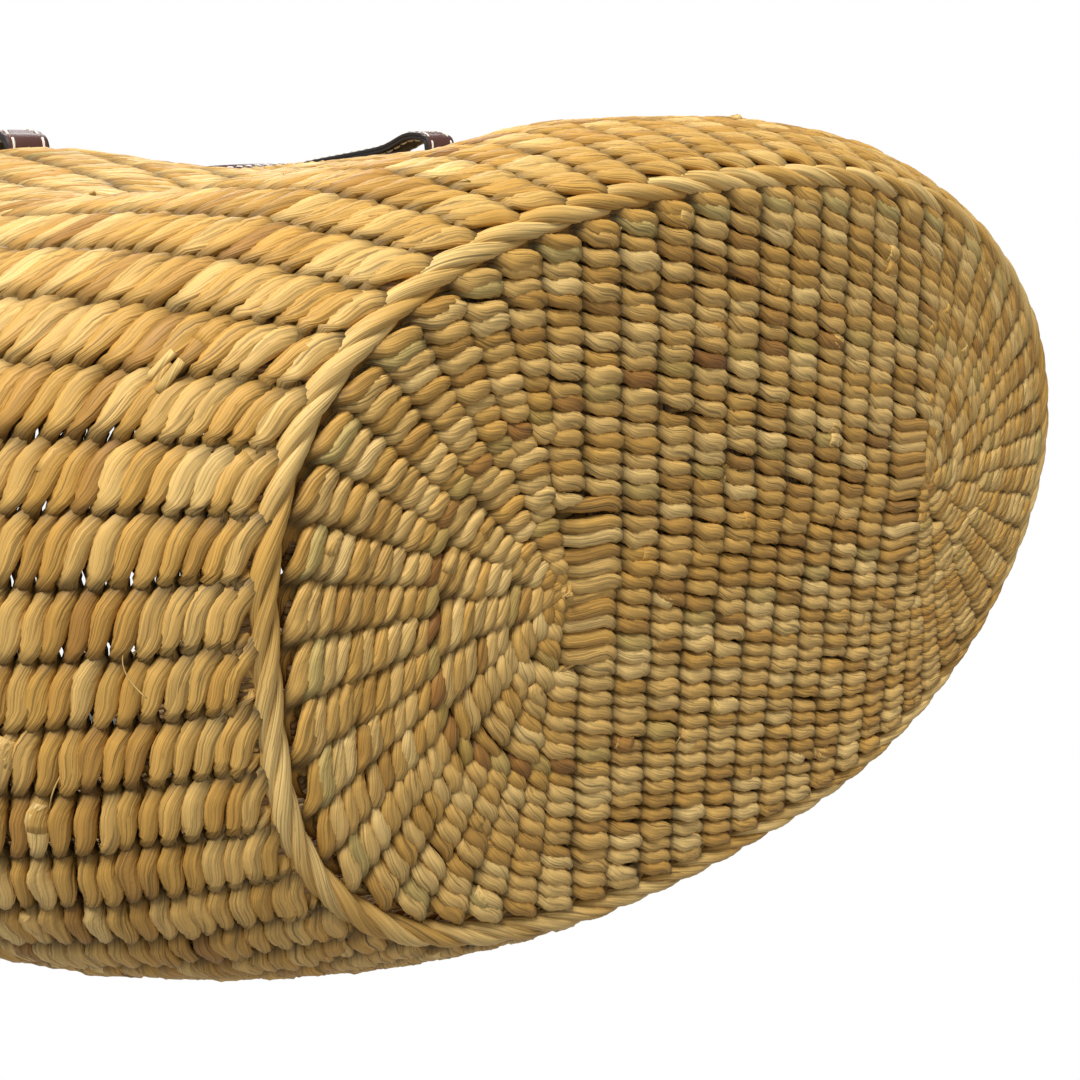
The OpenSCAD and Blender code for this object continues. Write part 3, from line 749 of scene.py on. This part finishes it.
def strap_line():
    """Middle line and face direction of the whole strap, from one folded end to the other."""
    v = np.linspace(0, 1, 2400)
    bow = bow_point(v)
    way = unit(np.gradient(bow, axis=0))
    way[0], way[-1] = [0, 0, 1], [0, 0, -1]
    radial = unit(np.cross([0.0, 1, 0], way))
    face = unit(np.cross(way, radial))
    w = np.clip((np.minimum(v, 1 - v) - 0.13) / 0.24, 0, 1)
    twist = np.pi / 2 * w * w * (3 - 2 * w)
    face = np.cos(twist)[:, None] * face + np.sin(twist)[:, None] * radial
    inner = -WEAVE - 0.4
    drop = STRAP_T / 2 + FOLD
    q = np.linspace(0, np.pi / 2, 12)[:, None]
    ends = []
    for end in (-1, 1):
        down = np.linspace(-drop - TAIL, -drop, 24)[:, None]
        tail = np.concatenate([0 * down + end * LEG, 0 * down + inner - drop, down], 1)
        fold = np.concatenate([0 * q + end * LEG, inner - drop * np.cos(q), -drop + drop * np.sin(q)], 1)
        across = np.linspace(inner, BEND - 2.9, 14)[:, None]
        through = np.concatenate([0 * across + end * LEG, across, 0 * across], 1)
        bend = np.concatenate([0 * q + end * LEG, BEND - 2.9 + 2.9 * np.sin(q), 2.9 - 2.9 * np.cos(q)], 1)
        line = np.concatenate([tail[:-1], fold[:-1], through[:-1], bend])
        ahead = unit(np.gradient(line, axis=0))
        ends.append((line, unit(np.cross([-1.0, 0, 0], ahead))))
    keep = bow[:, 2] > 3.2
    line = np.concatenate([ends[0][0], bow[keep], ends[1][0][::-1]])
    face = np.concatenate([ends[0][1], face[keep], ends[1][1][::-1]])
    run = np.concatenate([[0], np.cumsum(np.linalg.norm(np.diff(line, axis=0), axis=1))])
    steps = np.arange(0, run[-1], 1.0)
    line = np.stack([np.interp(steps, run, line[:, k]) for k in range(3)], 1)
    face = unit(np.stack([np.interp(steps, run, face[:, k]) for k in range(3)], 1))
    padded = np.pad(face, ((2, 2), (0, 0)), "edge")
    smooth = np.stack([np.convolve(padded[:, k], np.ones(5) / 5, "valid") for k in range(3)], 1)
    return line, unit(smooth)


def on_wall(side, points, turn_only=False):
    """Moves points or directions from the handle's own frame to the front or the back."""
    low, high = slot_y(side, SLOT_Z - 10), slot_y(side, SLOT_Z + 30)
    lean = np.arctan2(side * (high - low), 40.0)
    c, s = np.cos(-lean), np.sin(-lean)
    turned = points @ np.array([[1, 0, 0], [0, c, -s], [0, s, c]]).T
    turned = turned * [side, side, 1]
    return turned if turn_only else turned + [0, slot_y(side), SLOT_Z]


STRAP_LINE, STRAP_FACE = strap_line()
STRAP_WAY = unit(np.gradient(STRAP_LINE, axis=0))
STRAP_SIDE = unit(np.cross(STRAP_WAY, STRAP_FACE))
print(f"a strap is {len(STRAP_LINE)} mm long from end to end")


# %% Strap layers
def layer_section(low, high, crown, groove):
    """Outline of a leather layer: its face, its rounded edges and its flat back."""
    half = STRAP_W / 2
    x = np.array([-0.985, -0.93, -0.80, -0.74, -0.71, -0.68, -0.62, -0.3, 0, 0.3, 0.62, 0.68, 0.71, 0.74,
                  0.80, 0.93, 0.985]) * half
    y = high - 0.35 * (np.abs(x) / half) ** 8 + crown * (1 - (x / half) ** 2)
    y -= groove * np.exp(-(((np.abs(x) / half - 0.71) / 0.05) ** 2))
    sides = [(half, high - 0.45), (half, low + 0.35)]
    back = [(half * 0.97, low), (0, low), (-half * 0.97, low)]
    outline = list(zip(x, y)) + sides + back + [(-half, low + 0.35), (-half, high - 0.45)]
    return np.array(outline)


def strap_layer(name, node_names, side, section, material, edge):
    place = on_wall(side, STRAP_LINE)
    across, face = on_wall(side, STRAP_SIDE, True), on_wall(side, STRAP_FACE, True)
    grid = place[:, None] + across[:, None] * section[:, :1] + face[:, None] * section[:, 1:]
    m, k = grid.shape[:2]
    mesh = bpy.data.meshes.new(name)
    i, j = np.arange(m - 1)[:, None], np.arange(k)[None, :]
    quads = np.stack([i * k + j, (i + 1) * k + j, (i + 1) * k + (j + 1) % k, i * k + (j + 1) % k], -1)
    faces = quads.reshape(-1, 4).tolist() + [list(range(k)), [(m - 1) * k + a for a in range(k)][::-1]]
    mesh.from_pydata((grid.reshape(-1, 3) * MM).tolist(), [], faces)
    mesh.polygons.foreach_set("use_smooth", np.ones(len(faces), bool))
    is_edge = np.tile(np.isin(np.arange(k), edge), m - 1).tolist() + [True, True]
    mesh.materials.append(material)
    mesh.materials.append(BLACK_LEATHER)
    mesh.polygons.foreach_set("material_index", np.array(is_edge, np.int32))
    mesh.update(calc_edges=True)
    obj = bpy.data.objects.new(name, mesh)
    bpy.context.scene.collection.objects.link(obj)
    bend_between(obj)
    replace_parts(obj, *node_names)
    print(f"{name}: {len(faces)} faces")


def bend_between(obj):
    """Bakes the object's placement into its mesh."""
    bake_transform(obj)


FACE = layer_section(STRAP_T / 2 - LEATHER, STRAP_T / 2, 0.12, 0.14)
BACK = (layer_section(LEATHER - STRAP_T / 2, STRAP_T / 2, 0.04, 0.1) * [1, -1])[::-1]
PAINTED = [0, 15, 16, 17, 18, 21, 22, 23]
for side, body, label in ((-1, "front_handle", "front"), (1, "rear_handle", "rear")):
    tails = [f"{label}_left_tail", f"{label}_right_tail"]
    strap_layer(f"{label}_strap_leather", [f"{label}_strap"] + tails, side, FACE, BROWN_LEATHER,
                PAINTED)
    strap_layer(f"{label}_strap_lining", [f"{label}_lining"], side, BACK, BLACK_LEATHER,
                PAINTED)

# %% [markdown]
# ## Saddle stitches
#
# The two layers are sewn by hand with one waxed thread and two needles, so a stitch shows on
# both faces. A texture of dashes would look flat at this size. Each stitch is a short bent
# tube instead, which leaves one hole, lies in the groove and dives into the next.

# %% Stitches
PITCH, STITCH, THREAD_R = 5.0, 3.9, 0.46
EDGE_IN = 2.1  # distance of a row of stitches from the strap's edge


def sew(bundle, side, face_sign):
    """One face of a strap: two rows of stitches from end to end."""
    count = int((len(STRAP_LINE) - 10) / PITCH)
    t = np.linspace(-1, 1, 9)
    for k in range(count):
        for edge in (-1, 1):
            at = 5 + (k + 0.5) * PITCH + t * STITCH / 2
            line, across, face = [
                np.stack([np.interp(at, np.arange(len(grid)), grid[:, a]) for a in range(3)], 1)
                for grid in (STRAP_LINE, STRAP_SIDE, STRAP_FACE)]
            rise = STRAP_T / 2 - 0.12 + 0.32 - 0.95 * np.abs(t) ** 5
            over = edge * (STRAP_W / 2 - EDGE_IN) + 0.22 * t * face_sign
            path = line + across * over[:, None] + face * (rise * face_sign)[:, None]
            path, flat = on_wall(side, path), on_wall(side, across, True)
            sweep(bundle, path, flat, THREAD_R, 0.36, [0.5, 0, 1], sides=7, capped=True, lay=4)


for side, body, label in ((-1, "front_handle", "front"), (1, "rear_handle", "rear")):
    thread = Bundle()
    sew(thread, side, 1)
    sew(thread, side, -1)
    obj = thread.to_object(f"{label}_saddle_stitches", THREAD, "thread", body=None)
    bend_between(obj)
    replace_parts(obj, f"{label}_stitching", "tail_stitching")

# %% [markdown]
# ## Floor, light and camera
#
# The bag is judged on a plain pale floor under soft studio light. The floor is seen from above
# only, because the main camera looks up at the base from below the floor's level, as if the
# bag lay on its back on a table. A large soft light stands on the side of the camera, above
# the bag's front, and the white surroundings fill the shadows.

# %% Floor
FAR, LOW = 14.0, -0.0005  # half the side of the floor and its level, in metres
floor_mesh = bpy.data.meshes.new("studio_floor")
corners = [(-FAR, -FAR, LOW), (FAR, -FAR, LOW), (FAR, FAR, LOW), (-FAR, FAR, LOW)]
floor_mesh.from_pydata(corners, [], [(0, 1, 2, 3)])
floor = bpy.data.objects.new("studio_floor", floor_mesh)
bpy.context.scene.collection.objects.link(floor)
paint, tree, shader = surface("matt_studio_floor")
shader.inputs["Roughness"].default_value = 0.85
place = add(tree, "ShaderNodeTexCoord").outputs["Object"]
speckle = add(tree, "ShaderNodeTexNoise", {"Vector": place, "Scale": 350.0, "Detail": 2.0})
ramp = add(tree, "ShaderNodeValToRGB", {"Fac": speckle.outputs["Fac"]},
           stops=[(0.3, "#e6e4e0"), (0.7, "#e9e7e3")])
tree.links.new(ramp.outputs["Color"], shader.inputs["Base Color"])
under = add(tree, "ShaderNodeNewGeometry").outputs["Backfacing"]
clear = add(tree, "ShaderNodeBsdfTransparent").outputs[0]
seen = add(tree, "ShaderNodeMixShader", {0: under, 1: shader.outputs[0], 2: clear})
tree.links.new(seen.outputs[0], tree.nodes["Material Output"].inputs["Surface"])
floor_mesh.materials.append(paint)
for kind in ("diffuse", "glossy", "transmission", "shadow"):
    setattr(floor, f"visible_{kind}", False)

# %% Light
world = bpy.data.worlds.new("white_studio")
bpy.context.scene.world = world
world.use_nodes = True
world.node_tree.nodes["Background"].inputs["Color"].default_value = (1, 1, 1, 1)
# The background is white to the camera and gives a weaker light, so the gaps stay dark.
ray = add(world.node_tree, "ShaderNodeLightPath").outputs["Is Camera Ray"]
strength = add(world.node_tree, "ShaderNodeMapRange", {"Value": ray, "To Min": 0.5, "To Max": 1.0})
world.node_tree.links.new(strength.outputs[0], world.node_tree.nodes["Background"].inputs["Strength"])


def soft_light(name, place, target, size, watts):
    light = bpy.data.lights.new(name, "AREA")
    light.shape, light.size, light.energy = "DISK", size, watts
    obj = bpy.data.objects.new(name, light)
    bpy.context.scene.collection.objects.link(obj)
    way = np.array(target) - np.array(place)
    obj.rotation_mode = "QUATERNION"
    obj.rotation_quaternion = Vector(way).to_track_quat("-Z", "Y")
    obj.location = place
    obj.visible_camera = False


soft_light("key_light", (-0.75, -1.4, -0.3), (-0.02, 0.0, 0.1), 0.6, 33.0)
soft_light("rim_light", (0.6, -1.0, 1.2), (0.0, 0.0, 0.2), 0.8, 10.0)

# %% Camera
camera = bpy.data.cameras.new("camera")
camera.lens, camera.sensor_width = 45.96, 36.0
camera.shift_x, camera.shift_y = 0.013, 0.0201
camera.clip_start, camera.clip_end = 0.02, 30.0
camera_obj = bpy.data.objects.new("camera", camera)
bpy.context.scene.collection.objects.link(camera_obj)
RIGHT_WAY = np.array([0.718, 0.004, -0.696])
VIEW_WAY = np.array([0.666, 0.29, 0.687])
back = -unit(VIEW_WAY)
right_way = unit(RIGHT_WAY - back * (RIGHT_WAY @ back))
up_way = np.cross(back, right_way)
turned = Matrix([list(row) for row in np.stack([right_way, up_way, back], 1)]).to_4x4()
turned.translation = (-0.3041, -0.1029, -0.2173)
camera_obj.matrix_world = turned
bpy.context.scene.camera = camera_obj
bpy.context.scene.view_settings.view_transform = "Standard"
bpy.context.scene.view_settings.look = "None"
